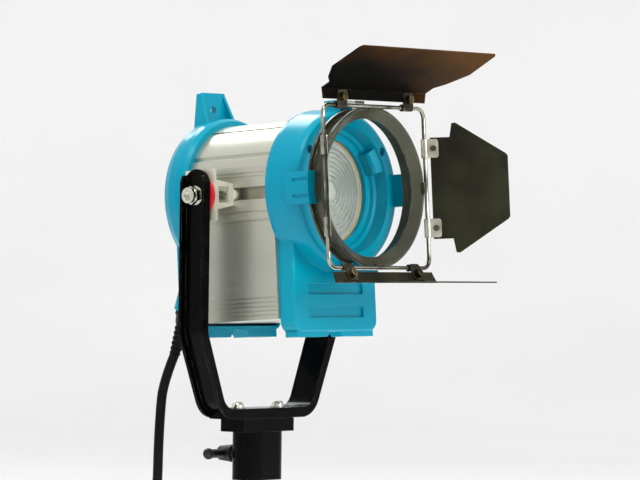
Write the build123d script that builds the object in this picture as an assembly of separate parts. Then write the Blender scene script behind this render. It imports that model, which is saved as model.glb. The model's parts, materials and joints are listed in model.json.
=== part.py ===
from build123d import *
import math
import os

# A 300 W-class Fresnel spotlight: lamp head, U-shaped yoke with a stand socket, and four-leaf barn doors.
# Every piece is drawn in the lamp's frame: the tilt pivot is the origin, the lens faces -Y, +Z is up and
# the optical axis is the Y axis. Yoke pieces are then lifted by PIVOT_Z, and head pieces are also tilted.

# Driving dimensions, in millimetres and degrees
PIVOT_Z = 228.0  # tilt pivot above the mouth of the stand socket
HEAD_TILT = 4.0  # how far the head points upwards at rest

BODY_R, BODY_HALF, BODY_BOTTOM, WALL = 59.0, 55.0, -101.0, 3.0
BODY_FRONT, BODY_REAR = -59.0, 25.0
SLOT_HALF, SLOT_DEPTH = 5.0, 6.0
FRAME_SCREWS = ((46.0, 31.0), (46.0, -90.0))  # X and Z of the housing screws on one side

HOOD_FRONT, BOX_FRONT, BOX_HALF, BOX_BOTTOM = -91.0, -74.0, 52.0, -112.0
FOOT_BOTTOM = -116.0
REAR_FACE, REAR_BOX_FACE, REAR_BOX_HALF = 53.0, 48.0, 50.0
LENS_R, LENS_FRONT, LENS_BACK, LENS_STEPS = 41.0, -73.0, -67.0, 8

ARM_INNER, ARM_DEPTH, ARM_WIDTH, SHEET = 77.0, 8.0, 25.0, 2.5
ARM_TOP, ARM_BEND, BAR_TOP, BAR_HALF = 21.0, -109.0, -170.0, 53.5
PIVOT_R, BAR_BOLT_X, BAR_BOLT_R = 4.0, 25.0, 3.0
STUD_R, STUD_DEPTH = 8.1, 36.0  # bore for a 16 mm stand stud

RING_R, RING_OPEN, NECK_R = 63.5, 55.0, 59.8
RING_REAR, RING_FRONT, FLANGE_T = -101.0, -118.0, 2.0
WIRE_R, WIRE_HALF, WIRE_Y, WIRE_CORNER = 1.7, 64.0, -120.0, 8.0
LEAF_T, LEAF_START, CLAMP_T, CLAMP_R = 1.0, 4.4, 1.2, 2.9
RIVET_U = 6.6  # the clamp rivets, measured from the hinge wire
FLANGE, FLANGE_BEND = 13.0, 62.0  # bent root of the top and bottom leaves
# rest angle of each leaf, from standing out in the ring's plane (0) to pointing forward (90)
LEAF_REST = {"top": 65.0, "bottom": 86.5, "left": 39.5, "right": 42.0}

FOCUS_Z, ROD_X, ROD_R, SPINDLE_R = -54.0, 20.0, 3.0, 4.0
FIT = 0.05  # radial clearance of running fits
GAP = 0.3  # clearance between curved faces on different bodies

CORD_R, CORD_X = 4.0, -30.0
GLAND_START = (CORD_X, 53.0, -76.0)
GLAND_LEAN = 22.0  # degrees from straight down, towards the rear
BOSS_L, GLAND_L, RELIEF_L = 14.0, 11.0, 26.0
COIL_R, COIL_HALF, COIL_DROP = 42.0, 13.6, 308.0  # mean radius, half thickness, centre below the pivot
TURN_OUT = 8.9  # how far outside the mean radius the first and the last turn lie
CORD_Y = 80.0

LIFT = Pos(0, 0, PIVOT_Z)
HEAD = LIFT * Rot(-HEAD_TILT, 0, 0)


def block(x0, x1, y0, y1, z0, z1):
    """A box between two corners."""
    return Pos((x0 + x1) / 2, (y0 + y1) / 2, (z0 + z1) / 2) * Box(abs(x1 - x0), abs(y1 - y0), abs(z1 - z0))


def rod(start, end, radius, end_radius=None):
    """A round bar, or a cone, from one point to another."""
    a, b = Vector(*start), Vector(*end)
    plane = Plane(origin=a, z_dir=(b - a).normalized())
    low = (Align.CENTER, Align.CENTER, Align.MIN)
    if end_radius is None:
        return plane * Cylinder(radius, (b - a).length, align=low)
    return plane * Cone(radius, end_radius, (b - a).length, align=low)


def hexagon(start, end, across_corners_r):
    """A hexagonal bar from one point to another."""
    a, b = Vector(*start), Vector(*end)
    face = RegularPolygon(across_corners_r, 6)
    return extrude(Plane(origin=a, z_dir=(b - a).normalized()) * face, amount=(b - a).length)


def turned(points):
    """A solid turned about the optical axis, from (radius, y) points."""
    return revolve(make_face(Polyline(*points, close=True)), Axis.Y, 360)


def along_y(sketch, front, rear):
    """A sketch of X and Z made into a prism along Y."""
    return extrude(Plane.XZ.offset(-rear) * sketch, amount=rear - front)


def rect(x0, x1, z0, z1):
    return Pos((x0 + x1) / 2, (z0 + z1) / 2) * Rectangle(abs(x1 - x0), abs(z1 - z0))


def both(shape):
    """The shape and its mirror image on the other side of the lamp."""
    return shape + mirror(shape, Plane.YZ)


def pair(x_of):
    """One solid for each side, joined as a group."""
    return Compound(children=[x_of(-1), x_of(1)])


def group(shapes):
    return Compound(children=list(shapes))


# ---------------------------------------------------------------- yoke


def yoke_path(share):
    """The yoke's outline, from its inner face (share 0) to its outer edge (share 1)."""
    x, low = ARM_INNER + share * ARM_DEPTH, BAR_TOP - share * ARM_DEPTH
    bend, half = ARM_BEND - 2 * share, BAR_HALF + 3.5 * share
    points = [(-x, ARM_TOP), (-x, bend), (-half, low), (half, low), (x, bend), (x, ARM_TOP)]
    return FilletPolyline(*points, radius=14 + ARM_DEPTH * share)


def yoke_band(share, front, rear):
    inner, outer = yoke_path(0), yoke_path(share)
    outline = inner + outer + Line(inner @ 0, outer @ 0) + Line(inner @ 1, outer @ 1)
    return along_y(make_face(outline.edges()), front, rear)


def yoke_bracket():
    half = ARM_WIDTH / 2
    channel = yoke_band(SHEET / ARM_DEPTH, -half, half)
    channel += yoke_band(1, -half, -half + SHEET) + yoke_band(1, half - SHEET, half)
    end_z = ARM_TOP - half
    ends = block(-100, 100, -half - 1, half + 1, end_z, ARM_TOP + 1)
    ends -= rod((-101, 0, end_z), (101, 0, end_z), half)
    channel -= ends
    channel -= rod((-100, 0, 0), (100, 0, 0), PIVOT_R + FIT)
    for x in (-BAR_BOLT_X, BAR_BOLT_X):
        channel -= rod((x, 0, BAR_TOP + 1), (x, 0, BAR_TOP - SHEET - 1), BAR_BOLT_R)
    return channel


SOCKET_TOP, PLATE_BOTTOM = BAR_TOP - SHEET, -189.0
LOCK_Z = -PIVOT_Z + 20


def stand_socket():
    inside = ARM_WIDTH / 2 - SHEET - 0.1
    body = block(-48, 48, -inside, inside, BAR_TOP - ARM_DEPTH - 0.3, SOCKET_TOP)
    body += block(-31, 31, -ARM_WIDTH / 2, ARM_WIDTH / 2, PLATE_BOTTOM, BAR_TOP - ARM_DEPTH - 0.3)
    oval = SlotOverall(47, ARM_WIDTH + 2)
    body += extrude(Pos(0, 0, -PIVOT_Z) * oval, amount=PIVOT_Z + PLATE_BOTTOM)
    body += rod((0, 8, LOCK_Z), (0, 19, LOCK_Z), 8.5)
    body -= rod((0, 0, -PIVOT_Z - 1), (0, 0, -PIVOT_Z + STUD_DEPTH), STUD_R)
    body -= rod((0, 5, LOCK_Z), (0, 20, LOCK_Z), PIVOT_R + FIT)
    for x in (-BAR_BOLT_X, BAR_BOLT_X):
        body -= rod((x, 0, SOCKET_TOP + 1), (x, 0, -186), BAR_BOLT_R)
    return body


def yoke_bolts():
    def bolt(x):
        shank = rod((x, 0, -185), (x, 0, BAR_TOP), BAR_BOLT_R)
        washer = rod((x, 0, BAR_TOP), (x, 0, BAR_TOP + 1), 6.0)
        dome = Pos(x, 0, BAR_TOP + 1) * Sphere(5.0) & block(x - 6, x + 6, -6, 6, BAR_TOP + 1, BAR_TOP + 5)
        return shank + washer + dome

    return group(bolt(x) for x in (-BAR_BOLT_X, BAR_BOLT_X))


def socket_lock_screw():
    return rod((0, STUD_R + 0.6, LOCK_Z), (0, 40, LOCK_Z), PIVOT_R)


def socket_lock_handle():
    hub = rod((0, 24, LOCK_Z), (0, 38, LOCK_Z), 7.5, 6.0)
    bar = rod((-24, 31, LOCK_Z), (24, 31, LOCK_Z), 3.6)
    tips = Pos(-24, 31, LOCK_Z) * Sphere(4.6) + Pos(24, 31, LOCK_Z) * Sphere(4.6)
    return hub + bar + tips - rod((0, 0, LOCK_Z), (0, 60, LOCK_Z), PIVOT_R)


# ---------------------------------------------------------------- tilt brackets

PLATE_OUT, PLATE_IN, BASE_IN = 74.0, 71.5, 55.2
BRACKET_SCREW_Y = 9.5


def pivot_bracket(side):
    outline = Polyline((PLATE_OUT, -14), (PLATE_OUT, 14), (BASE_IN, 18.5), (BASE_IN, -18.5), close=True)
    box = extrude(make_face(outline), amount=12, both=True)
    hollow = Polyline((PLATE_IN, -11.5), (PLATE_IN, 11.5), (BASE_IN + 2.3, 16), (BASE_IN + 2.3, -16), close=True)
    box -= extrude(make_face(hollow), amount=13, both=True)
    taper = Polyline((PLATE_OUT, 12), (PLATE_IN, 12), (BASE_IN, 8.5), (BASE_IN, -8.5), (PLATE_IN, -12),
                     (PLATE_OUT, -12), close=True)
    box = box & along_y(make_face(taper), -20, 20)
    box -= block(BASE_IN + 4, PLATE_IN - 2, -20, 20, -6.5, 6.5)
    box += block(PLATE_IN, PLATE_OUT, -15, 15, -20.5, 20.5)
    box += rod((PLATE_IN, 0, 0), (PLATE_IN - 6, 0, 0), 9)
    tongue = extrude(Plane.YZ * SlotOverall(42, 2 * SLOT_HALF - 0.6), amount=3)
    box += Pos(BASE_IN - 3, 0, 0) * tongue
    box -= rod((40, 0, 0), (90, 0, 0), PIVOT_R)
    for y in (-BRACKET_SCREW_Y, BRACKET_SCREW_Y):
        box -= rod((45, y, 0), (BASE_IN + 3, y, 0), 2.0)
    return box if side > 0 else mirror(box, Plane.YZ)


def bracket_screws():
    def screw(side, y):
        shank = rod((side * 46.3, y, 0), (side * (BASE_IN + 2.3), y, 0), 2.0)
        head = rod((side * (BASE_IN + 2.3), y, 0), (side * (BASE_IN + 5.3), y, 0), 3.6)
        socket = hexagon((side * (BASE_IN + 3.6), y, 0), (side * (BASE_IN + 6), y, 0), 1.8)
        return shank + head - socket

    return group(screw(s, y) for s in (-1, 1) for y in (-BRACKET_SCREW_Y, BRACKET_SCREW_Y))


def slot_nuts():
    def nut(side, y):
        body = block(side * 46.3, side * 48.7, y - 6, y + 6, -7.5, 7.5)
        return body - rod((side * 40, y, 0), (side * 55, y, 0), 2.0)

    return group(nut(s, y) for s in (-1, 1) for y in (-BRACKET_SCREW_Y, BRACKET_SCREW_Y))


def friction_disc(side):
    disc = rod((side * PLATE_OUT, 0, 0), (side * (ARM_INNER - 0.05), 0, 0), 15.3)
    return disc - rod((side * 70, 0, 0), (side * 80, 0, 0), PIVOT_R)


def pivot_bolt():
    """The hexagon bolt and washer of the near side, seen inside the arm's channel."""
    shank = rod((-65, 0, 0), (-80, 0, 0), PIVOT_R)
    washer = rod((-79.6, 0, 0), (-81.2, 0, 0), 7.6)
    head = hexagon((-81.2, 0, 0), (-86.5, 0, 0), 7.4)
    collar = rod((-86.5, 0, 0), (-90, 0, 0), 6.2)
    return shank + washer + head + collar - rod((-86.8, 0, 0), (-91, 0, 0), 4.0)


def pivot_stud():
    return rod((65, 0, 0), (104, 0, 0), PIVOT_R)


def tilt_lock_knob():
    hub = rod((80, 0, 0), (92, 0, 0), 8.0)
    star = rod((92, 0, 0), (107, 0, 0), 13.0)
    for i in range(6):
        a = math.radians(60 * i + 30)
        star += rod((92, 12 * math.cos(a), 12 * math.sin(a)), (107, 12 * math.cos(a), 12 * math.sin(a)), 6.0)
    return hub + star - rod((70, 0, 0), (104.2, 0, 0), PIVOT_R + FIT)


# ---------------------------------------------------------------- head: shell


def body_outline(inset):
    dome = Circle(BODY_R - inset) & Rectangle(2 * (BODY_HALF - inset), 2 * BODY_R)
    return dome + rect(inset - BODY_HALF, BODY_HALF - inset, BODY_BOTTOM + inset, 20)


def body_extrusion():
    """The ribbed aluminium profile, with a T-slot along each side."""
    profile = body_outline(0) - body_outline(WALL)
    pads = rect(43, 53, -11.5, 11.5) + Pos(46, 31) * Circle(4.2) + Pos(46, -90) * Circle(4.2)
    pads += rect(46, 53, -94, -86)
    profile += (pads + mirror(pads, Plane.YZ)) & body_outline(0)
    cuts = rect(BODY_HALF - SLOT_DEPTH, 60, -SLOT_HALF, SLOT_HALF) + rect(46, 49.2, -8, 8)
    for z, height, depth in ((13.2, 1.0, 0.8), (16.0, 1.0, 0.8), (-14.6, 1.2, 1.0), (-22.0, 1.6, 1.2)):
        cuts += rect(BODY_HALF - depth, 60, z - height / 2, z + height / 2)
    for i in range(5):
        cuts += rect(BODY_HALF - 0.8, 60, -84.2 - 3.4 * i, -83.0 - 3.4 * i)
    cuts += rect(48.6, 60, 28.6, 31.8) + Pos(27.4, 51.6) * Circle(1.7)
    for x, z in FRAME_SCREWS:
        cuts += Pos(x, z) * Circle(2.0)
    cuts += rect(0, 46, BODY_BOTTOM - 1, BODY_BOTTOM + WALL + 1)
    profile -= cuts + mirror(cuts, Plane.YZ)
    return along_y(profile, BODY_FRONT, BODY_REAR)


def bottom_cover():
    plate = block(-45.8, 45.8, BODY_FRONT, BODY_REAR, BODY_BOTTOM, BODY_BOTTOM + WALL)
    for i in range(7):
        y = -45 + 9 * i
        plate -= extrude(Pos(0, y, BODY_BOTTOM - 1) * SlotOverall(44, 4), amount=WALL + 2)
    return plate


def box_shape(half, top, bottom, front, rear, radius):
    """The lower box of a casting, with round vertical and bottom corners."""
    solid = block(-half, half, front, rear, bottom, top)
    return fillet(solid.edges().filter_by(Axis.Y).group_by(Axis.Z)[0], radius)


def foot(x0, x1, front, rear, top, bottom=FOOT_BOTTOM):
    """One of a pair of feet, with a sloped inner end."""
    points = [(x0, top), (x0, bottom), (x1, bottom), (x1 + (5 if x1 > x0 else -5), top)]
    return along_y(make_face(Polyline(*points, close=True)), front, rear)


EAR_HALF, EAR_R = 13.0, 69.0


def accessory_ears():
    """The three grooved holders of the barn-door ring."""
    inner, groove = NECK_R + 0.5, RING_R + 0.4
    front, back = RING_REAR - FLANGE_T - 0.5, RING_REAR + 0.5
    profile = turned([(inner, -82), (EAR_R, -82), (EAR_R, front - 2.5), (inner, front - 2.5), (inner, front),
                      (groove, front), (groove, back), (inner, back)])
    sides = profile & block(-80, 80, -110, -80, -EAR_HALF, EAR_HALF)
    foot_ear = profile & block(-15, 15, -110, -80, -80, -50)
    for z in (-6.5, 6.5):
        for s in (-1, 1):
            sides -= block(s * (EAR_R - 1.2), s * (EAR_R + 2), -105, -90, z - 1.3, z + 1.3)
    return sides + foot_ear


LATCH_Y, LATCH_Z = -86.0, 68.0


def front_casting():
    hood = turned([(0, BODY_FRONT), (65, BODY_FRONT), (65.6, -63), (64, -85.5), (63.2, -88.6), (61.6, -90.4),
                   (59.4, HOOD_FRONT), (0, HOOD_FRONT)])
    lower = box_shape(BOX_HALF, 10, BOX_BOTTOM, BOX_FRONT, BODY_FRONT, 9)
    lower = fillet(lower.faces().sort_by(Axis.Y)[0].edges(), 2.0)
    shell = hood + lower + foot(BOX_HALF - 4, 10, -72, -60, BOX_BOTTOM + 1)
    shell += foot(4 - BOX_HALF, -10, -72, -60, BOX_BOTTOM + 1) + accessory_ears()
    shell += both(block(6.2, 10, -91, -78, 58, LATCH_Z + 3.2))
    bore = turned([(0, -58), (54, -58), (54, -60.5), (48, -63.5), (37.5, -64.5), (37.5, LENS_BACK), (41.4, LENS_BACK),
                   (41.4, -76), (45.5, -76.4), (46.8, -79.6), (49.4, -80.2), (51.5, -92), (0, -92)])
    shell -= bore
    pad = turned([(43.5, -74), (53, -74), (53, -89), (50, -89), (45, -86.5), (43.5, -84)])
    wedge = Polyline((0, 0), (80, 26), (80, 72), close=True)
    shell += both(pad & along_y(make_face(wedge), -95, -70))
    hollow = block(3 - BOX_HALF, BOX_HALF - 3, BOX_FRONT + 3, BODY_FRONT + 1, BOX_BOTTOM + 3, -40)
    shell -= hollow - rod((0, -90, 0), (0, 0, 0), 60)
    for z in (-78, -96.5):
        slot = along_y(Pos(0, z) * RectangleRounded(69, 8.5, 2), BOX_FRONT - 1, BOX_FRONT + 2)
        shell -= slot
    for x, z in FRAME_SCREWS:
        shell += both(rod((x, BODY_FRONT, z), (x, -71, z), 4.8)) - bore
    x, z = FRAME_SCREWS[0]
    for s in (-1, 1):
        shell -= rod((s * x, -58, z), (s * x, -95, z), 2.05)
        shell -= rod((s * x, HOOD_FRONT + 7, z), (s * x, HOOD_FRONT - 1, z), 3.5)
    shell -= rod((-12, LATCH_Y, LATCH_Z), (12, LATCH_Y, LATCH_Z), 1.5)
    return shell


def rear_casting():
    shell = turned([(0, BODY_REAR), (63.5, BODY_REAR), (65.6, 29), (66, 34), (65, 42), (61.5, 49), (56, REAR_FACE),
                    (0, REAR_FACE)])
    shell += box_shape(REAR_BOX_HALF, 10, -106, BODY_REAR, REAR_BOX_FACE, 8)
    shell += foot(REAR_BOX_HALF - 4, 12, BODY_REAR + 2, REAR_BOX_FACE - 4, -105, FOOT_BOTTOM + 4)
    shell += foot(4 - REAR_BOX_HALF, -12, BODY_REAR + 2, REAR_BOX_FACE - 4, -105, FOOT_BOTTOM + 4)
    shell += rod(GLAND_START, gland_point(BOSS_L), 10)
    shell -= turned([(0, 24), (56, 24), (60, 30), (60, 42), (54, 49), (0, 49)])
    hollow = block(3 - REAR_BOX_HALF, REAR_BOX_HALF - 3, 24, REAR_BOX_FACE - 3, -103, -40)
    shell -= hollow - rod((0, 0, 0), (0, 90, 0), 63)
    shell -= rod(gland_point(-6), gland_point(BOSS_L + 1), 4.2)
    shell -= rod((0, 20, FOCUS_Z), (0, 60, FOCUS_Z), SPINDLE_R + FIT)
    for i in range(4):
        vent = along_y(Pos(0, 24 - 10 * i) * SlotOverall(60, 4), 48, 54)
        shell -= vent
    lug = Polyline((-20, 55), (20, 55), (19, 61), (14.5, 88), (-14.5, 88), (-19, 61), close=True)
    plate = fillet(along_y(make_face(lug), 46, 51).edges().filter_by(Axis.Y).group_by(Axis.Z)[-1], 2.5)
    inside = Polyline((-16.5, 54), (16.5, 54), (16, 61), (11.6, 90), (-11.6, 90), (-16, 61), close=True)
    slope = Polyline((46, 87), (36, 57), (20, 57), (20, 95), (46, 95), close=True)
    walls = along_y(make_face(lug), 36, 46.5) - along_y(make_face(inside), 35, 48)
    walls -= extrude(Plane.YZ * make_face(slope), amount=30, both=True)
    shell += plate + walls - turned([(0, 24), (62, 24), (62, 49), (0, 49)])
    shell -= rod((0, 40, 74), (0, 55, 74), 3.25)
    for x, z in FRAME_SCREWS:
        shell += both(rod((x, BODY_REAR, z), (x, 47.5, z), 5.0))
        for s in (-1, 1):
            shell -= rod((s * x, 24, z), (s * x, 56, z), 2.05)
            shell -= rod((s * x, 44, z), (s * x, 56, z), 3.6)
    return shell


def housing_screws(front):
    def screw(side, x, z):
        x *= side
        if front:
            seat, tip, out = HOOD_FRONT + 7, -48, -1
        else:
            seat, tip, out = 44, 12, 1
        shank = rod((x, tip, z), (x, seat, z), 2.0)
        head = rod((x, seat, z), (x, seat + out * 3, z), 3.4)
        cross = block(x - 2, x + 2, seat + out * 1.8, seat + out * 4, z - 0.4, z + 0.4)
        cross += block(x - 0.4, x + 0.4, seat + out * 1.8, seat + out * 4, z - 2, z + 2)
        return shank + head - cross

    places = FRAME_SCREWS[:1] if front else FRAME_SCREWS
    return group(screw(s, x, z) for s in (-1, 1) for x, z in places)


# ---------------------------------------------------------------- head: optics and lamp


def lens():
    """A plano-stepped Fresnel lens: a bull's eye in the middle and rings with sloped faces."""
    pitch, eye = 3.7, 9.1
    points = [(0, LENS_BACK - 0.05), (LENS_R, LENS_BACK - 0.05), (LENS_R, LENS_FRONT + 2.5), (38.7, LENS_FRONT + 2.5)]
    for i in range(LENS_STEPS):
        outer = 38.7 - pitch * i
        points += [(outer, LENS_FRONT + 2.2), (outer - pitch + 0.2, LENS_FRONT)]
    points += [(eye, LENS_FRONT + 2.2), (eye * 0.7, LENS_FRONT + 0.9), (eye * 0.35, LENS_FRONT + 0.2), (0, LENS_FRONT)]
    return turned(points)


def lens_ring():
    return turned([(40.2, LENS_FRONT + 2.4), (41.3, LENS_FRONT + 2.4), (41.3, LENS_FRONT + 1.2), (40.2, LENS_FRONT + 1.2)])


def lamp_tray():
    """The heat shield under the lamp, with upturned ends that carry the guide rods and the spindle."""
    tray = block(-51.5, 51.5, -57, 22, -69, -67.5)
    for y in (-57, 20):
        tray += block(-30, 30, y, y + 2, -68, -45)
    for x, r in ((-ROD_X, ROD_R), (ROD_X, ROD_R), (0, SPINDLE_R + FIT)):
        tray -= rod((x, -60, FOCUS_Z), (x, 30, FOCUS_Z), r)
    return tray


def guide_rods():
    return pair(lambda s: rod((s * ROD_X, -58, FOCUS_Z), (s * ROD_X, 23, FOCUS_Z), ROD_R))


def lamp_carriage():
    slide = block(-27, 27, -30, -8, -60.5, -48)
    arm = block(-5, 5, -10, -8, -50, -24) + block(-5, 5, -12, -8, -52, -48)
    slide += arm
    for x, r in ((-ROD_X, ROD_R), (ROD_X, ROD_R), (0, SPINDLE_R)):
        slide -= rod((x, -60, FOCUS_Z), (x, 30, FOCUS_Z), r + FIT)
    return slide


LAMP_Y = -20.0


def lamp_holder():
    body = block(-12, 12, LAMP_Y - 7, LAMP_Y + 7, -48, -30)
    return body - block(-5, 5, LAMP_Y - 3.2, LAMP_Y + 3.2, -38, -29)


def lamp_base():
    return block(-4.9, 4.9, LAMP_Y - 3.1, LAMP_Y + 3.1, -38, -20)


def lamp_envelope():
    at = Pos(0, LAMP_Y, 0)
    glass = at * (rod((0, 0, -20), (0, 0, 8), 6.5) + Pos(0, 0, 8) * Sphere(6.5))
    glass -= at * (rod((0, 0, -18), (0, 0, 8), 5.5) + Pos(0, 0, 8) * Sphere(5.5))
    return glass - block(-1.5, 1.5, LAMP_Y - 1.5, LAMP_Y + 1.5, -21, -17)


def lamp_filament():
    legs = rod((-3, LAMP_Y, -17.9), (-3, LAMP_Y, 0), 0.5) + rod((3, LAMP_Y, -17.9), (3, LAMP_Y, 0), 0.5)
    return legs + rod((-3.8, LAMP_Y, 0), (3.8, LAMP_Y, 0), 1.6)


def reflector():
    """A spherical mirror centred on the filament, with a tab on the carriage's arm."""
    outer, inner, edge = 28.0, 27.0, 52.0

    def arc(radius):
        steps = [math.radians(edge * i / 8) for i in range(9)]
        return [(radius * math.sin(a), LAMP_Y + radius * math.cos(a)) for a in steps]

    face = make_face(Polyline(*arc(outer), *reversed(arc(inner)), close=True))
    cap = revolve(face, Axis.Y, 360)
    return cap + block(-4, 4, -8, -7, -36, -21.6) + block(-4, 4, -8, -2.5, -22.4, -21.4)


def focus_spindle():
    return rod((0, -56.5, FOCUS_Z), (0, 68, FOCUS_Z), SPINDLE_R)


def focus_knob():
    knob = rod((0, REAR_FACE + 1.5, FOCUS_Z), (0, 70, FOCUS_Z), 13)
    for i in range(18):
        a = math.radians(20 * i)
        x, z = 13.4 * math.cos(a), FOCUS_Z + 13.4 * math.sin(a)
        knob -= rod((x, REAR_FACE + 5, z), (x, 71, z), 1.1)
    return knob - rod((0, 40, FOCUS_Z), (0, 68, FOCUS_Z), SPINDLE_R)


def terminal_block():
    body = block(-22, 22, 4, 20, -94, -82)
    for i in range(3):
        body -= rod((-14 + 14 * i, 12, -86), (-14 + 14 * i, 12, -81), 2.4)
        body -= rod((-14 + 14 * i, 0, -90), (-14 + 14 * i, 30, -90), 1.8)
    return body + block(-24, 24, 8, 16, BODY_BOTTOM + WALL, -94)


def accessory_latch():
    """A sprung lever that hooks over the ring's flange."""
    z = LATCH_Z - 1.5
    lever = block(-5.8, 5.8, -106.5, -81, z, z + 3) + block(-5.8, 5.8, -106.5, -104.1, 61, z + 1)
    lever += rod((-5.8, LATCH_Y, LATCH_Z), (5.8, LATCH_Y, LATCH_Z), 2.8)
    return lever - rod((-7, LATCH_Y, LATCH_Z), (7, LATCH_Y, LATCH_Z), 1.5 + FIT)


def latch_pin():
    return rod((-10.6, LATCH_Y, LATCH_Z), (10.6, LATCH_Y, LATCH_Z), 1.5)


# ---------------------------------------------------------------- barn doors


def barndoor_ring():
    """A grooved ring with a dished face, and the four tabs that carry the wire."""
    rear, front, inner = RING_REAR, RING_FRONT, NECK_R - 2
    profile = [(inner, rear), (RING_R, rear), (RING_R, rear - FLANGE_T), (NECK_R, rear - FLANGE_T), (NECK_R, front + 6.4),
               (RING_R, front + 3), (64.6, front + 1.6), (64.4, front + 0.6), (63.4, front), (62.4, front),
               (RING_OPEN + 0.8, front + 5.6), (RING_OPEN, front + 6.2), (RING_OPEN, front + 8), (inner, front + 8)]
    ring = turned(profile)
    for angle in (0, 90, 180, 270):
        tab = block(WIRE_HALF - 3, WIRE_HALF - 1.2, front - 2.6, front + 1, -5, 5)
        wire = rod((WIRE_HALF, WIRE_Y, -9), (WIRE_HALF, WIRE_Y, 9), WIRE_R)
        ring += Rot(0, angle, 0) * (tab - wire)
    return ring


def barndoor_frame():
    """The square of round wire that the leaves hinge on."""
    path = Plane.XZ.offset(-WIRE_Y) * RectangleRounded(2 * WIRE_HALF, 2 * WIRE_HALF, WIRE_CORNER)
    wire = path.faces()[0].outer_wire()
    start = Plane(origin=wire @ 0, z_dir=wire % 0)
    return sweep(start * Circle(WIRE_R), path=wire)


OUTWARD = {"top": (0, 0, 1), "bottom": (0, 0, -1), "left": (-1, 0, 0), "right": (1, 0, 0)}
SIDE_OUTLINE = ((LEAF_START, 40.8), (20.5, 40.8), (22.5, 52), (25.5, 52.3), (66, 26.5), (67.5, 24.5))
TOP_OUTLINE = ((0, 66), (9, 66), (16, 75), (32, 87.5), (62, 86.5), (64.5, 84))
BOTTOM_OUTLINE = ((0, 64), (18, 64), (27, 72), (54, 72.5), (56.5, 70))


def leaf_plane(side, angle, along=0.0):
    """The plane of a leaf: X runs away from the hinge wire, Y along it, Z towards the light."""
    out, forward = Vector(*OUTWARD[side]), Vector(0, -1, 0)
    a = math.radians(angle)
    away = out * math.cos(a) + forward * math.sin(a)
    normal = forward * math.cos(a) - out * math.sin(a)
    hinge = Vector(0, WIRE_Y, 0) + out * WIRE_HALF
    return Plane(origin=hinge + away * along, x_dir=away, z_dir=normal)


def mirrored_outline(half):
    points = list(half) + [(u, -v) for u, v in reversed(half)]
    return make_face(Polyline(*points, close=True))


def clamp_rows(side):
    """Places of a leaf's two clamps along the wire, and their size along it."""
    return ((-32, 32), 15) if side in ("left", "right") else ((-42, 42), 12)


def root_angle(side):
    return LEAF_REST[side] - (0 if side in ("left", "right") else FLANGE_BEND)


def leaf_sheet(side):
    if side in ("left", "right"):
        sheet = extrude(leaf_plane(side, LEAF_REST[side]) * Pos(0, 0, 0.4) * mirrored_outline(SIDE_OUTLINE),
                        amount=LEAF_T)
    else:
        root, main = leaf_plane(side, root_angle(side)), leaf_plane(side, root_angle(side), FLANGE)
        outline = TOP_OUTLINE if side == "top" else BOTTOM_OUTLINE
        flange = mirrored_outline(((LEAF_START, outline[0][1] - 1.5), (FLANGE + 0.6, outline[0][1])))
        sheet = extrude(root * Pos(0, 0, 0.4) * flange, amount=LEAF_T)
        main = Plane(origin=main.origin + main.z_dir * 0.4, x_dir=leaf_plane(side, LEAF_REST[side]).x_dir,
                     z_dir=leaf_plane(side, LEAF_REST[side]).z_dir)
        sheet += extrude(main * mirrored_outline(outline), amount=LEAF_T)
    plane = leaf_plane(side, root_angle(side))
    for v in clamp_rows(side)[0]:
        sheet -= plane * (Pos(RIVET_U, v, 0) * Cylinder(1.3, 8))
    return sheet


def leaf_clamps(side):
    """Plates that curl round the wire and hold the leaf by friction."""
    plane = leaf_plane(side, root_angle(side))
    rows, length = clamp_rows(side)
    reach = 10.8 if side in ("left", "right") else 12.0
    low = 0.4 + LEAF_T

    def clamp(v):
        tongue = Pos((reach - 2.5) / 2, v, low + CLAMP_T / 2) * Box(reach + 2.5, length, CLAMP_T)
        tongue = fillet(tongue.edges().filter_by(Axis.Z), 2.2)
        curl = Pos(0, v, 0) * Rot(90, 0, 0) * (Cylinder(CLAMP_R, length))
        bore = Pos(0, v, 0) * Rot(90, 0, 0) * (Cylinder(WIRE_R + FIT, length + 2))
        return plane * (tongue + curl - bore - Pos(RIVET_U, v, 0) * Cylinder(1.3, 12))

    return group(clamp(v) for v in rows)


def leaf_rivets(side):
    plane = leaf_plane(side, root_angle(side))
    low, top = 0.4, 0.4 + LEAF_T + CLAMP_T

    def rivet(v):
        shank = Pos(RIVET_U, v, (low + top) / 2) * Cylinder(1.3, top - low)
        if side in ("left", "right"):
            head = Pos(RIVET_U, v, top + 0.6) * Cylinder(2.4, 1.2)
        else:
            head = Pos(RIVET_U, v, top + 1.6) * Cylinder(3.3, 3.2)
            head -= Pos(RIVET_U, v, top + 3) * Box(5, 1.0, 1.4)
        back = Pos(RIVET_U, v, low - 0.4) * Cylinder(2.2, 0.8)
        return plane * (shank + head + back)

    return group(rivet(v) for v in clamp_rows(side)[0])


# ---------------------------------------------------------------- cord


def gland_point(distance):
    """A point on the cable entry's axis, in the lamp's frame."""
    a = math.radians(GLAND_LEAN)
    x, y, z = GLAND_START
    return (x, y + distance * math.sin(a), z - distance * math.cos(a))


def cable_gland():
    start, end = gland_point(BOSS_L), gland_point(BOSS_L + GLAND_L)
    nut = hexagon(start, gland_point(BOSS_L + 4), 8.6) + rod(gland_point(BOSS_L + 4), end, 7.2, 6.2)
    return nut - rod(gland_point(BOSS_L - 1), gland_point(BOSS_L + GLAND_L + 1), 4.2)


def strain_relief():
    start = gland_point(BOSS_L + GLAND_L)
    end = gland_point(BOSS_L + GLAND_L + RELIEF_L - CORD_R - GAP)
    return rod(start, end, 5.8, 4.3)


def world(point):
    """A point of the tilted head, in the frame of the level yoke with the pivot as its origin."""
    a, (x, y, z) = math.radians(-HEAD_TILT), point
    return (x, y * math.cos(a) - z * math.sin(a), y * math.sin(a) + z * math.cos(a))


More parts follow.
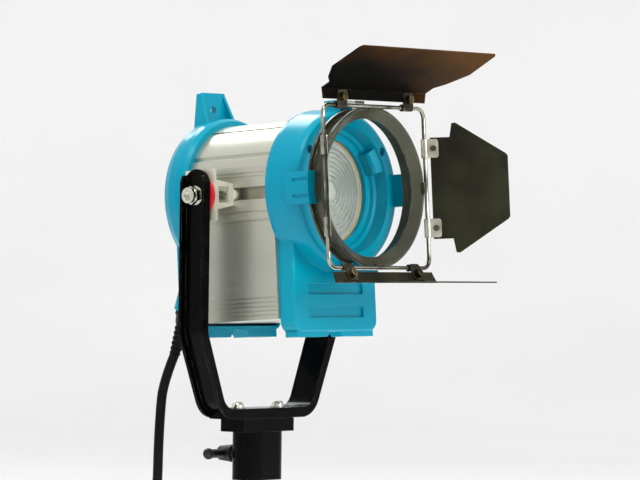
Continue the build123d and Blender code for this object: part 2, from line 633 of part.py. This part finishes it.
CORD_EXIT = world(gland_point(BOSS_L + GLAND_L + RELIEF_L))
COIL_CENTRE = (CORD_X + COIL_R + TURN_OUT, CORD_Y, -COIL_DROP)
ENTRY_Z = -COIL_DROP + math.sqrt((COIL_R + COIL_HALF) ** 2 - (COIL_R + TURN_OUT) ** 2)
CORD_ROUTE = [
    CORD_EXIT,
    (-30.4, 75.2, -152),
    (-29.6, 78.6, -178),
    (-30.3, 79.4, -205),
    (-29.8, 80.3, -232),
    (CORD_X, CORD_Y, ENTRY_Z),
]


def cord_radii(points):
    """The largest tangent arc at each corner of the route."""
    radii = []
    for a, b, c in zip(points, points[1:], points[2:]):
        before, after = Vector(*b) - Vector(*a), Vector(*c) - Vector(*b)
        turn = math.radians(before.get_angle(after))
        radii.append(0.45 * min(before.length, after.length) / math.tan(turn / 2))
    return radii


def power_cord():
    radii = cord_radii(CORD_ROUTE)
    path = FilletPolyline(*CORD_ROUTE, radius=radii)
    start = Plane(origin=path @ 0, z_dir=path % 0)
    tube = sweep(start * Circle(CORD_R), path=path)
    expected = math.pi * CORD_R**2 * path.length
    print("cord radii", [round(r) for r in radii], "length", round(path.length, 1),
          "volume over expected", round(tube.volume / expected, 4))
    ball = Pos(*CORD_EXIT) * Sphere(CORD_R)
    return tube + ball


def cord_coil():
    x, y, z = COIL_CENTRE
    section = Pos(COIL_R, 0) * RectangleRounded(2 * COIL_HALF, 2 * COIL_HALF, 6)
    ring = revolve(section, Axis.Y, 360)
    return Pos(x, y, z) * ring


def cord_tie():
    """The strap that holds the coil's turns together, at the top of the coil."""
    x, y, z = COIL_CENTRE
    place = Pos(x, y, z) * Rot(0, -90, 0) * Pos(COIL_R, 0, 0)
    outer = extrude(RectangleRounded(2 * COIL_HALF + 3, 2 * COIL_HALF + 3, 7), amount=6, both=True)
    inner = extrude(RectangleRounded(2 * COIL_HALF + 0.4, 2 * COIL_HALF + 0.4, 6.2), amount=8, both=True)
    return place * (outer - inner)


PLUG_START = 22.0


def mains_plug():
    """A moulded plug that lies along the bottom of the coil."""
    x, y, z = COIL_CENTRE
    at = Pos(x + PLUG_START, y, z - COIL_R - TURN_OUT) * Rot(0, 90, 0)
    low = (Align.CENTER, Align.CENTER, Align.MIN)
    relief = Cone(4.6, 6.5, 20, align=low)
    body = extrude(Pos(0, 0, 20) * RectangleRounded(22, 30, 7), amount=22)
    body = fillet(body.edges().group_by(Axis.Z)[0], 3)
    return at * (relief + body)


def plug_pins():
    x, y, z = COIL_CENTRE
    at = Pos(x + PLUG_START + 42, y, z - COIL_R - TURN_OUT) * Rot(0, 90, 0)
    low = (Align.CENTER, Align.CENTER, Align.MIN)
    return group(at * (Pos(u, v, 0) * Cylinder(2.0, 16, align=low)) for u, v in ((-5, -6), (-5, 6), (5, 0)))


# ---------------------------------------------------------------- all nodes


def all_nodes():
    fixed = {
        "yoke_bracket": yoke_bracket(),
        "stand_socket": stand_socket(),
        "yoke_bolts": yoke_bolts(),
        "socket_lock_screw": socket_lock_screw(),
        "socket_lock_handle": socket_lock_handle(),
        "power_cord": power_cord(),
        "cord_coil": cord_coil(),
        "cord_tie": cord_tie(),
        "mains_plug": mains_plug(),
        "plug_pins": plug_pins(),
    }
    tilted = {
        "pivot_bracket_left": pivot_bracket(-1),
        "pivot_bracket_right": pivot_bracket(1),
        "bracket_screws": bracket_screws(),
        "slot_nuts": slot_nuts(),
        "friction_disc_left": friction_disc(-1),
        "friction_disc_right": friction_disc(1),
        "pivot_bolt": pivot_bolt(),
        "pivot_stud": pivot_stud(),
        "tilt_lock_knob": tilt_lock_knob(),
        "body_extrusion": body_extrusion(),
        "bottom_cover": bottom_cover(),
        "front_casting": front_casting(),
        "rear_casting": rear_casting(),
        "front_screws": housing_screws(True),
        "rear_screws": housing_screws(False),
        "lens": lens(),
        "lens_ring": lens_ring(),
        "lamp_tray": lamp_tray(),
        "guide_rods": guide_rods(),
        "lamp_carriage": lamp_carriage(),
        "lamp_holder": lamp_holder(),
        "lamp_base": lamp_base(),
        "lamp_envelope": lamp_envelope(),
        "lamp_filament": lamp_filament(),
        "reflector": reflector(),
        "focus_spindle": focus_spindle(),
        "focus_knob": focus_knob(),
        "terminal_block": terminal_block(),
        "accessory_latch": accessory_latch(),
        "latch_pin": latch_pin(),
        "cable_gland": cable_gland(),
        "strain_relief": strain_relief(),
        "barndoor_ring": barndoor_ring(),
        "barndoor_frame": barndoor_frame(),
    }
    for side in LEAF_REST:
        tilted[f"leaf_{side}"] = leaf_sheet(side)
        tilted[f"leaf_{side}_clamps"] = leaf_clamps(side)
        tilted[f"leaf_{side}_rivets"] = leaf_rivets(side)
    nodes = {name: LIFT * shape for name, shape in fixed.items()}
    nodes.update({name: HEAD * shape for name, shape in tilted.items()})
    return nodes


os.makedirs("parts", exist_ok=True)
for name, shape in all_nodes().items():
    export_step(shape, f"parts/{name}.step")
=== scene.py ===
"""The looks of a small Fresnel spotlight: its camera, lead, finishes, soft details and studio."""

import json
import math

import bmesh
import bpy
from mathutils import Matrix, Vector


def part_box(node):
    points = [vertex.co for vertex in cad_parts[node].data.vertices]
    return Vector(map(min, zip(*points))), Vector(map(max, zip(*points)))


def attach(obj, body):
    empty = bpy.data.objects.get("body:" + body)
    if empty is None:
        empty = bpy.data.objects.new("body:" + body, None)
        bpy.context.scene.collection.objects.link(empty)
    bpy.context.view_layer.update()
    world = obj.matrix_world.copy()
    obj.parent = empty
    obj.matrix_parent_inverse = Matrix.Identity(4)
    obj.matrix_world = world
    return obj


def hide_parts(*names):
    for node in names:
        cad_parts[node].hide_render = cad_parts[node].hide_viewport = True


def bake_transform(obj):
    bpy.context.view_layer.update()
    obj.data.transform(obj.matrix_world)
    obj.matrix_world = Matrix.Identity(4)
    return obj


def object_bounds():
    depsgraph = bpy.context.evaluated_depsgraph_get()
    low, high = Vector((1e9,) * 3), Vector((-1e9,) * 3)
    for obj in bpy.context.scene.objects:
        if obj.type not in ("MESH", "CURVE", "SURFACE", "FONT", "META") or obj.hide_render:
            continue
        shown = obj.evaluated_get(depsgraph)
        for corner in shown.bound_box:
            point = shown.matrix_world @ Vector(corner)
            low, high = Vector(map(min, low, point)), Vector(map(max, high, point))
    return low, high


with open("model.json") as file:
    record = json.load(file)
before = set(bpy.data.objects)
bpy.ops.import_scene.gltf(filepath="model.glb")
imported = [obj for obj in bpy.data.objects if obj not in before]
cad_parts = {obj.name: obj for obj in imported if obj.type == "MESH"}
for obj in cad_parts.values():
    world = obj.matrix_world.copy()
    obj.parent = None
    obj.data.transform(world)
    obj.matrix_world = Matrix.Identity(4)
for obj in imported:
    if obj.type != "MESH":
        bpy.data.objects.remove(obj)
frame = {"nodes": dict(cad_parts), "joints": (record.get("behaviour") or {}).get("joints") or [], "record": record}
nodes = frame["nodes"]
CAD_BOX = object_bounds()
MM = 0.001


def joint_place(name):
    """Where a joint of the record sits, in the row frame."""
    return Vector(next(j for j in frame["joints"] if j["name"] == name)["pos_m"])


PIVOT = joint_place("head_tilt")
CORD_EXIT = joint_place("cord_hang")


# ---------------------------------------------------------------- camera

AZIMUTH, ELEVATION, ROLL = map(math.radians, (-50.9, 0.0, 0.75))  # azimuth 0 looks at the lens squarely
DISTANCE, FOCAL_MM, SENSOR_MM = 3.547, 246.9, 36.0  # a long lens from 3.5 m, as the photograph is nearly flat
FAR_CLIP = 60.0
AIM_RIGHT, AIM_DOWN = 48.6 * MM, 34.0 * MM  # the photograph's centre, seen from the tilt pivot


def add_camera():
    """The camera of the photograph, aimed beside and below the tilt pivot."""
    right = Vector((math.cos(AZIMUTH), math.sin(AZIMUTH), 0))
    back = Vector((math.sin(AZIMUTH) * math.cos(ELEVATION), -math.cos(AZIMUTH) * math.cos(ELEVATION),
                   math.sin(ELEVATION)))
    aim = PIVOT + right * AIM_RIGHT - Vector((0, 0, AIM_DOWN))
    data = bpy.data.cameras.new("camera")
    data.lens, data.sensor_width, data.clip_end = FOCAL_MM, SENSOR_MM, FAR_CLIP
    camera = bpy.data.objects.new("camera", data)
    bpy.context.scene.collection.objects.link(camera)
    turn = Matrix((right, back.cross(right), back)).transposed() @ Matrix.Rotation(ROLL, 3, "Z")
    camera.matrix_world = Matrix.Translation(aim + back * DISTANCE) @ turn.to_4x4()
    bpy.context.scene.camera = camera


add_camera()


# ---------------------------------------------------------------- mains lead

CORD_R = 4.0 * MM
COIL_R = 42.0 * MM  # mean radius of the coil
TURN_SPREAD = 9.45 * MM  # how far each turn lies from the middle of the bundle
SLOTS, TURNS, STEPS = 7, 6.25, 16  # turns side by side, turns in all, points a turn
FIRST_SLOT = math.radians(19.3)  # where round the bundle the first turn starts
PLUG_REACH = 6.0 * MM  # how far the lead runs into the plug's strain relief
# the hanging run, as offsets from the cable exit
HANG = ((0, 0, 0), (-0.4, 11.9, -24.0), (0.4, 15.3, -50.0), (-0.3, 16.1, -77.0), (0.2, 17.0, -104.0),
        (0, 18.6, -128.0))


def coil_points():
    """The lead's turns: it enters at the left going down, and winds once round the bundle as it goes."""
    low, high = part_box("cord_coil")
    centre = (low + high) / 2
    points = []
    for i in range(int(TURNS * STEPS) + 1):
        along = math.tau * i / STEPS
        round_bundle = FIRST_SLOT + along / SLOTS
        radius = COIL_R + TURN_SPREAD * math.cos(round_bundle)
        side = TURN_SPREAD * math.sin(round_bundle)
        points.append(centre + Vector((-radius * math.cos(along), side, -radius * math.sin(along))))
    plug_low, plug_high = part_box("mains_plug")
    end = Vector((plug_low.x + PLUG_REACH, (plug_low.y + plug_high.y) / 2, (plug_low.z + plug_high.z) / 2))
    return points + [points[-1].lerp(end, 0.5), end]


def spline_length(curve_object):
    """The length of a curve's own line."""
    depth, curve_object.data.bevel_depth = curve_object.data.bevel_depth, 0.0
    mesh = bpy.data.meshes.new_from_object(curve_object)
    curve_object.data.bevel_depth = depth
    spots = [v.co.copy() for v in mesh.vertices]
    return sum((b - a).length for a, b in zip(spots, spots[1:]))


def tube_along(name, points, radius):
    """A round wire that follows one smooth spline. Its radius is on the points, over a bevel 1 m deep."""
    curve = bpy.data.curves.new(name, "CURVE")
    curve.dimensions, curve.resolution_u = "3D", 6
    curve.bevel_depth, curve.bevel_resolution, curve.use_fill_caps = 1.0, 6, True
    spline = curve.splines.new("NURBS")
    spline.points.add(len(points) - 1)
    for spot, place in zip(spline.points, points):
        spot.co = (*place, 1)
        spot.radius = radius
    spline.order_u, spline.use_endpoint_u = 3, True
    piece = bpy.data.objects.new(name, curve)
    bpy.context.scene.collection.objects.link(piece)
    return piece


lead = tube_along("mains_lead", [CORD_EXIT + Vector(p) * MM for p in HANG] + coil_points(), CORD_R)
LEAD_LENGTH = round(spline_length(lead), 3)
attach(lead, "cord")
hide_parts("power_cord", "cord_coil")


# ---------------------------------------------------------------- finishes


def linear(red, green, blue):
    """A colour as a screen shows it, from 0 to 255, as the linear values that shaders take."""
    def one(value):
        value /= 255
        return value / 12.92 if value <= 0.04045 else ((value + 0.055) / 1.055) ** 2.4
    return (one(red), one(green), one(blue), 1.0)


NOISE_LOW, NOISE_HIGH = 0.3, 0.7  # the span that a noise's values mostly keep to
BLOTCH_EDGE = (0.38, 0.62)  # the part of that span over which one colour gives way to the other
EDGE_MARK_SPAN = (0.995, 0.86)  # how square a rounded and a true normal are where an edge starts to take its edge colour, and takes it fully
EDGE_MARK_PATCH = (0.46, 0.62)  # the part of a noise's span over which these edges are broken up
REFLECTION_FRONT = (-0.15, 0.3)  # where along a piece its painted warm reflection begins, and is full
RELIEF_HEIGHT = 0.2 * MM


class Finish:
    """A procedural material: blotches of two colours, fine grain in gloss and relief, rounded edges with their own
    colour, worn paint and on some finishes a painted highlight.

    `tint` and `shade` are its two colours, `gloss` the least and the most roughness, `blotch` and `grain` the scales
    of its two noises, `edge` the rounding of its edges in mm, `edge_wear_and_highlight` the colour of its sharp
    edges, which stands for worn paint and on some finishes for a painted edge highlight, and
    `warm_reflection_direction` a direction, in shares of the piece's box, along which `shade` gives way to `tint` as
    a painted warm reflection.
    """

    def __init__(self, name, tint, shade, metallic=0.0, gloss=(0.3, 0.4), blotch=14.0, grain=900.0, relief=0.05,
                 stretch=(1, 1, 1), edge=0.5, edge_wear_and_highlight=None, edge_metallic=1.0, transmission=0.0, ior=1.5, specular=0.5,
                 warm_reflection_direction=None):
        self.material = bpy.data.materials.new(name)
        self.material.use_nodes = True
        self.tree = self.material.node_tree
        self.tree.nodes.clear()
        self.shader = self.add("ShaderNodeBsdfPrincipled", Metallic=metallic, IOR=ior)
        self.shader.inputs["Transmission Weight"].default_value = transmission
        self.shader.inputs["Specular IOR Level"].default_value = specular
        output = self.add("ShaderNodeOutputMaterial")
        self.link(self.shader.outputs[0], output.inputs["Surface"])
        coordinates = self.add("ShaderNodeTexCoord")
        place = coordinates.outputs["Object"]
        mapping = self.add("ShaderNodeMapping", Scale=stretch)
        self.link(place, mapping.inputs["Vector"])
        fine = self.noise(mapping.outputs[0], grain, 5)
        broad = self.noise(mapping.outputs[0], blotch, 3)
        # a painted warm reflection: the first colour spreads over the second along one direction of the piece
        if warm_reflection_direction:
            share = self.painted_reflection_share(coordinates.outputs["Generated"], broad, warm_reflection_direction)
        else:
            share = self.remap(broad, *BLOTCH_EDGE, 0, 1)
        colour = self.mix(share, tint, shade)
        rounded = self.add("ShaderNodeBevel", Radius=edge * MM)
        rounded.samples = 4
        # sharp edges take the edge colour: worn paint, and on the enamels and the ring a painted highlight too
        if edge_wear_and_highlight:
            mask = self.edge_mask(rounded.outputs[0], self.noise(place, 160, 4))
            colour = self.mix(mask, colour, edge_wear_and_highlight)
            self.link(self.remap(mask, 0, 1, metallic, edge_metallic), self.shader.inputs["Metallic"])
        self.link(colour, self.shader.inputs["Base Color"])
        both = self.add("ShaderNodeMath", operation="ADD")
        self.link(self.remap(fine, NOISE_LOW, NOISE_HIGH, 0, 0.6), both.inputs[0])
        self.link(self.remap(broad, NOISE_LOW, NOISE_HIGH, 0, 0.4), both.inputs[1])
        self.link(self.remap(both.outputs[0], 0, 1, *gloss), self.shader.inputs["Roughness"])
        bump = self.add("ShaderNodeBump", Strength=relief, Distance=RELIEF_HEIGHT)
        self.link(fine, bump.inputs["Height"])
        self.link(rounded.outputs[0], bump.inputs["Normal"])
        self.link(bump.outputs[0], self.shader.inputs["Normal"])

    def add(self, kind, operation=None, **values):
        """A new node, with values set on its inputs by their names."""
        node = self.tree.nodes.new(kind)
        if operation:
            node.operation = operation
        for key, value in values.items():
            node.inputs[key].default_value = value
        return node

    def link(self, start, end):
        self.tree.links.new(start, end)

    def noise(self, place, scale, detail):
        node = self.add("ShaderNodeTexNoise", Scale=scale, Detail=detail)
        self.link(place, node.inputs["Vector"])
        return node.outputs[0]

    def remap(self, value, low, high, new_low, new_high):
        """A value moved from one span to another, and kept within it."""
        node = self.add("ShaderNodeMapRange")
        for key, number in (("From Min", low), ("From Max", high), ("To Min", new_low), ("To Max", new_high)):
            node.inputs[key].default_value = number
        self.link(value, node.inputs["Value"])
        return node.outputs[0]

    def mix(self, factor, first, second):
        """Two colours, each a value or another node's output, mixed by a factor."""
        node = self.tree.nodes.new("ShaderNodeMix")
        node.data_type = "RGBA"
        self.link(factor, node.inputs[0])
        for socket, colour in ((node.inputs[6], first), (node.inputs[7], second)):
            if isinstance(colour, tuple):
                socket.default_value = colour
            else:
                self.link(colour, socket)
        return node.outputs[2]

    def painted_reflection_share(self, generated, noise, direction):
        """1 where a piece is still its second colour, fading to 0 along a direction, with an uneven front: the edge
        of a painted warm reflection.
        """
        along = self.add("ShaderNodeVectorMath", operation="DOT_PRODUCT")
        self.link(generated, along.inputs[0])
        along.inputs[1].default_value = direction
        uneven = self.add("ShaderNodeMath", operation="ADD")
        self.link(along.outputs["Value"], uneven.inputs[0])
        self.link(self.remap(noise, NOISE_LOW, NOISE_HIGH, -0.16, 0.16), uneven.inputs[1])
        return self.remap(uneven.outputs[0], *REFLECTION_FRONT, 1, 0)

    def edge_mask(self, rounded, noise):
        """1 at a sharp edge, where the finish is worn and on some finishes painted with a highlight, broken up by
        noise.
        """
        true = self.add("ShaderNodeNewGeometry").outputs["Normal"]
        dot = self.add("ShaderNodeVectorMath", operation="DOT_PRODUCT")
        self.link(rounded, dot.inputs[0])
        self.link(true, dot.inputs[1])
        edge = self.remap(dot.outputs["Value"], *EDGE_MARK_SPAN, 0, 1)
        broken = self.add("ShaderNodeMath", operation="MULTIPLY")
        self.link(edge, broken.inputs[0])
        self.link(self.remap(noise, *EDGE_MARK_PATCH, 0, 1), broken.inputs[1])
        return broken.outputs[0]


STEEL = linear(200, 198, 186)
# the finish of each material slot; some nodes have their own, below
FINISHES = {
    # blue enamel: its lighter blue edges are a painted edge highlight, not worn paint
    "blue_enamel": Finish("blue_enamel", linear(0, 137, 162), linear(0, 129, 158), gloss=(0.18, 0.24), relief=0.004,
                          grain=420, blotch=9, edge=0.9, specular=0.16, edge_wear_and_highlight=linear(12, 150, 178),
                          edge_metallic=0.0),
    "anodised": Finish("anodised", linear(189, 190, 175), linear(169, 170, 160), metallic=0.8, gloss=(0.26, 0.4),
                       grain=700, stretch=(1, 0.02, 1), relief=0.03, edge=0.3, blotch=6),
    # black enamel: its pale edges stand for worn paint and for painted highlights along the yoke's edges
    "black_enamel": Finish("black_enamel", linear(4, 4, 4), linear(7, 7, 6), gloss=(0.12, 0.22), relief=0.03,
                           grain=500, edge=0.8, specular=0.08, ior=1.35, edge_wear_and_highlight=linear(74, 70, 62), edge_metallic=0.6),
    "zinc": Finish("zinc", STEEL, linear(170, 170, 160), metallic=1.0, gloss=(0.2, 0.34), relief=0.06, blotch=60,
                   grain=1500, edge=0.3),
    "clamp_steel": Finish("clamp_steel", linear(176, 173, 160), linear(140, 137, 124), metallic=1.0,
                          gloss=(0.26, 0.42), relief=0.1, blotch=70, grain=1400, edge=0.3),
    "friction_red": Finish("friction_red", linear(206, 24, 48), linear(176, 16, 38), gloss=(0.42, 0.6), relief=0.3,
                           grain=2200, blotch=90, edge=0.3),
    "brass": Finish("brass", linear(206, 184, 128), linear(176, 150, 92), metallic=1.0, gloss=(0.2, 0.36),
                    relief=0.06, blotch=80, grain=1600, edge=0.3),
    "lens_glass": Finish("lens_glass", linear(238, 242, 236), linear(230, 236, 230), gloss=(0.04, 0.12), relief=0.02,
                         grain=1500, edge=0.1, transmission=0.6, ior=1.47),
    "bulb_glass": Finish("bulb_glass", linear(245, 245, 245), linear(236, 238, 240), gloss=(0.01, 0.04), relief=0.01,
                         edge=0.1, transmission=1.0, ior=1.46),
    "tungsten": Finish("tungsten", linear(120, 116, 110), linear(96, 92, 88), metallic=1.0, gloss=(0.3, 0.45),
                       grain=4000, edge=0.1),
    "mirror_metal": Finish("mirror_metal", linear(226, 226, 220), linear(214, 214, 206), metallic=1.0,
                           gloss=(0.1, 0.2), relief=0.02, edge=0.3),
    "ceramic": Finish("ceramic", linear(226, 220, 206), linear(212, 204, 188), gloss=(0.25, 0.4), relief=0.05,
                      blotch=50, edge=0.4),
    "knob_black": Finish("knob_black", linear(12, 12, 12), linear(20, 20, 19), gloss=(0.36, 0.52), relief=0.3,
                         grain=2600, blotch=40, edge=0.6, specular=0.3),
    "cord_rubber": Finish("cord_rubber", linear(6, 6, 6), linear(11, 11, 10), gloss=(0.34, 0.5), relief=0.1,
                          grain=1100, blotch=30, edge=0.2, specular=0.08),
    "plug_black": Finish("plug_black", linear(13, 13, 13), linear(20, 20, 20), gloss=(0.34, 0.5), relief=0.25,
                         grain=2400, blotch=40, edge=0.6, specular=0.3),
}
# the ring: its pale edges stand for worn paint and for painted rim highlights
RING = Finish("ring_black", linear(56, 58, 40), linear(38, 39, 27), gloss=(0.24, 0.38), relief=0.03, blotch=20,
              grain=900, edge=0.7, specular=0.4, edge_wear_and_highlight=linear(160, 156, 130), edge_metallic=0.8)
LEAF = Finish("leaf_black", linear(36, 36, 24), linear(22, 21, 14), gloss=(0.34, 0.54), relief=0.08, blotch=24,
              grain=1300, edge=0.4, specular=0.07, edge_wear_and_highlight=linear(140, 134, 116), edge_metallic=0.8)
# the top leaf is black; its brown towards one end is a painted warm reflection
TOP_LEAF = Finish("leaf_warm_reflection", linear(72, 46, 14), linear(5, 4, 3), gloss=(0.62, 0.8), relief=0.06, blotch=16,
                  grain=1300, edge=0.4, specular=0.04, edge_wear_and_highlight=linear(120, 100, 70), edge_metallic=0.8,
                  warm_reflection_direction=(0.5, -0.5, 0))
# the wire: its bright and dark blotches stand for a dark nickel tone and for painted reflections
WIRE = Finish("frame_wire", linear(176, 174, 160), linear(70, 68, 60), metallic=1.0, gloss=(0.12, 0.26),
              relief=0.05, blotch=34, grain=1500, edge=0.2)
BOLT = Finish("pivot_steel", linear(226, 226, 214), linear(200, 200, 188), metallic=1.0, gloss=(0.12, 0.24),
              relief=0.04, blotch=90, grain=1600, edge=0.5)
DARK_CLAMP = Finish("dark_clamp", linear(70, 66, 52), linear(40, 38, 32), metallic=0.9, gloss=(0.2, 0.36),
                    relief=0.08, blotch=60, grain=1400, edge=0.4, edge_wear_and_highlight=linear(170, 160, 130))
DARK_BRASS = Finish("dark_brass", linear(132, 116, 76), linear(70, 60, 40), metallic=1.0, gloss=(0.18, 0.34),
                    relief=0.06, blotch=80, grain=1600, edge=0.3)
RIVET_STEEL = Finish("rivet_steel", linear(96, 92, 78), linear(66, 63, 54), metallic=1.0, gloss=(0.24, 0.4),
                     relief=0.06, blotch=80, grain=1600, edge=0.3)
BRACKET = Finish("pale_bracket", linear(206, 204, 188), linear(190, 188, 172), metallic=0.25, gloss=(0.3, 0.46),
                 relief=0.05, blotch=40, grain=1200, edge=0.5)
PALE_BRASS = Finish("pale_brass", linear(232, 204, 150), linear(214, 184, 128), metallic=0.4, gloss=(0.24, 0.4),
                    relief=0.05, blotch=70, grain=1500, edge=0.2)
NODE_FINISHES = {
    "pivot_bracket_left": BRACKET, "pivot_bracket_right": BRACKET, "pivot_bolt": BOLT, "yoke_bolts": BOLT,
    "stand_socket": FINISHES["black_enamel"], "lens_ring": PALE_BRASS, "barndoor_ring": RING, "barndoor_frame": WIRE,
    "leaf_top": TOP_LEAF, "leaf_bottom": LEAF, "leaf_left": LEAF, "leaf_right": LEAF,
    "leaf_top_clamps": DARK_CLAMP, "leaf_bottom_clamps": DARK_CLAMP,
    "leaf_top_rivets": DARK_BRASS, "leaf_bottom_rivets": DARK_BRASS,
    "leaf_left_rivets": RIVET_STEEL, "leaf_right_rivets": RIVET_STEEL,
}


def give(piece, finish):
    """Puts one finish on the whole of a piece."""
    piece.data.materials.clear()
    piece.data.materials.append(finish.material)


for part in frame["record"]["subparts"]:
    name = part["node"]
    give(nodes[name], NODE_FINISHES.get(name) or FINISHES[part["material_slot"]])
give(lead, FINISHES["cord_rubber"])


# ---------------------------------------------------------------- strain relief and filament


def lathe(name, profile, origin, axis, around=40):
    """A closed solid turned about an axis, from (distance along it, radius) points."""
    mesh = bmesh.new()
    rings = []
    for distance, radius in profile:
        rings.append([mesh.verts.new((radius * math.cos(math.tau * k / around),
                                      radius * math.sin(math.tau * k / around), distance)) for k in range(around)])
    for low, high in zip(rings, rings[1:]):
        for k in range(around):
            after = (k + 1) % around
            mesh.faces.new((low[k], low[after], high[after], high[k]))
    mesh.faces.new(reversed(rings[0]))
    mesh.faces.new(rings[-1])
    data = bpy.data.meshes.new(name)
    mesh.to_mesh(data)
    mesh.free()
    data.shade_smooth()
    piece = bpy.data.objects.new(name, data)
    bpy.context.scene.collection.objects.link(piece)
    piece.matrix_world = Matrix.Translation(origin) @ axis.to_track_quat("Z", "Y").to_matrix().to_4x4()
    return piece


GLAND_LEAN = math.radians(18)  # the cable entry's lean from straight down, once the head is tilted
GLAND_AXIS = Vector((0, math.sin(GLAND_LEAN), -math.cos(GLAND_LEAN)))
RELIEF_LENGTH, RIBS = 25.8 * MM, 6
RELIEF_WIDE, RELIEF_NARROW, GROOVE = 5.8 * MM, 4.5 * MM, 0.8 * MM  # two radii and the depth between ribs
THIN_WALL = 0.1 * MM  # the least rubber round the lead


def ribbed_profile():
    """A tapered sleeve with rounded ribs, so that it bends evenly."""
    profile, steps = [], RIBS * 8  # 8 points a rib
    for i in range(steps + 1):
        share = i / steps
        taper = RELIEF_WIDE + (RELIEF_NARROW - RELIEF_WIDE) * share
        dip = GROOVE * (0.5 - 0.5 * math.cos(math.tau * RIBS * share)) ** 2
        profile.append((RELIEF_LENGTH * share, max(taper - dip, CORD_R + THIN_WALL)))
    return profile


relief_start = CORD_EXIT - GLAND_AXIS * (RELIEF_LENGTH + THIN_WALL)
relief = lathe("ribbed_strain_relief", ribbed_profile(), relief_start, GLAND_AXIS)
give(relief, FINISHES["cord_rubber"])
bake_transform(relief)
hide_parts("strain_relief")

COIL_TURNS, COIL_STEPS, COIL_TURN_R, FILAMENT_R = 9, 12, 1.3 * MM, 0.2 * MM
COIL_GAP, LEG_GAP, FOOT_GAP = 0.3 * MM, 0.8 * MM, 0.4 * MM  # from the solid filament's top, sides and bottom


def filament_points():
    """Two legs with a coiled filament between them, in the space of the CAD one."""
    low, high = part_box("lamp_filament")
    middle = (low.y + high.y) / 2
    top = high.z - COIL_TURN_R - COIL_GAP
    left, right = low.x + LEG_GAP, high.x - LEG_GAP
    turns = [Vector((left + (right - left) * i / (COIL_TURNS * COIL_STEPS),
                     middle + COIL_TURN_R * math.sin(math.tau * i / COIL_STEPS),
                     top - COIL_TURN_R * math.cos(math.tau * i / COIL_STEPS)))
             for i in range(COIL_TURNS * COIL_STEPS + 1)]
    foot = low.z + FOOT_GAP
    start = [Vector((left, middle, foot)), Vector((left, middle, (foot + top) / 2))]
    end = [Vector((right, middle, (foot + top) / 2)), Vector((right, middle, foot))]
    return start + turns + end


filament = tube_along("coiled_filament", filament_points(), FILAMENT_R)
give(filament, FINISHES["tungsten"])
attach(filament, "carriage")
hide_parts("lamp_filament")


# ---------------------------------------------------------------- studio

FLOOR_DROP = 40.0 * MM  # below the lowest piece at rest, since the coiled lead hangs lower at some tilts
FLAT_RADIUS, CURVE_RADIUS, WALL_HEIGHT = 4.6, 2.2, 5.5
CURVE_STEPS, COVE_SIDES = 12, 96


def add_floor():
    """A pale floor that curves up into a wall all round, as a studio's cove does."""
    level = CAD_BOX[0].z - FLOOR_DROP
    outline = [(FLAT_RADIUS, 0.0)]
    for i in range(1, CURVE_STEPS + 1):
        a = math.pi / 2 * i / CURVE_STEPS
        outline.append((FLAT_RADIUS + CURVE_RADIUS * math.sin(a), CURVE_RADIUS * (1 - math.cos(a))))
    outline.append((FLAT_RADIUS + CURVE_RADIUS, WALL_HEIGHT))
    mesh = bmesh.new()
    middle = mesh.verts.new((0, 0, level))
    angles = [math.tau * k / COVE_SIDES for k in range(COVE_SIDES)]
    rings = [[mesh.verts.new((r * math.cos(a), r * math.sin(a), level + h)) for a in angles] for r, h in outline]
    for k in range(COVE_SIDES):
        mesh.faces.new((middle, rings[0][k], rings[0][(k + 1) % COVE_SIDES]))
    for low, high in zip(rings, rings[1:]):
        for k in range(COVE_SIDES):
            after = (k + 1) % COVE_SIDES
            mesh.faces.new((low[k], high[k], high[after], low[after]))
    data = bpy.data.meshes.new("studio_cove")
    mesh.to_mesh(data)
    mesh.free()
    data.shade_smooth()
    cove = bpy.data.objects.new("studio_cove", data)
    bpy.context.scene.collection.objects.link(cove)
    give(cove, Finish("pale_floor", linear(246, 246, 246), linear(242, 242, 243), gloss=(0.7, 0.85), relief=0.0,
                      grain=40, blotch=1, edge=0.1))


WORLD_STRENGTH = 0.97
# azimuth and elevation in degrees, as for the camera, distance and side in metres, power in watts, and colour
LIGHTS = {
    "key": (-55, 62, 2.2, 0.9, 36, (1.0, 0.98, 0.9)),
    "front": (5, 16, 2.4, 1.0, 40, (1.0, 0.99, 0.95)),
    "rim": (150, 42, 2.4, 0.9, 24, (0.93, 0.97, 1.0)),
}


def add_light(name, azimuth, elevation, distance, size, power, colour):
    """A soft square light that faces the lamp."""
    a, e = math.radians(azimuth), math.radians(elevation)
    away = Vector((math.sin(a) * math.cos(e), -math.cos(a) * math.cos(e), math.sin(e)))
    data = bpy.data.lights.new(name, "AREA")
    data.shape, data.size, data.energy, data.color = "SQUARE", size, power, colour
    light = bpy.data.objects.new(name, data)
    bpy.context.scene.collection.objects.link(light)
    turn = away.to_track_quat("Z", "Y").to_matrix().to_4x4()
    light.matrix_world = Matrix.Translation(PIVOT + away * distance) @ turn


def add_studio():
    """A white room with three soft lights, shown with its colours as they are."""
    add_floor()
    world = bpy.data.worlds.new("studio")
    bpy.context.scene.world = world
    world.use_nodes = True
    world.node_tree.nodes["Background"].inputs["Color"].default_value = (1, 1, 1, 1)
    world.node_tree.nodes["Background"].inputs["Strength"].default_value = WORLD_STRENGTH
    for name, numbers in LIGHTS.items():
        add_light(name, *numbers)
    bpy.context.scene.view_settings.view_transform = "Standard"


add_studio()

bpy.context.view_layer.update()  # so that every piece's placement is brought up to date
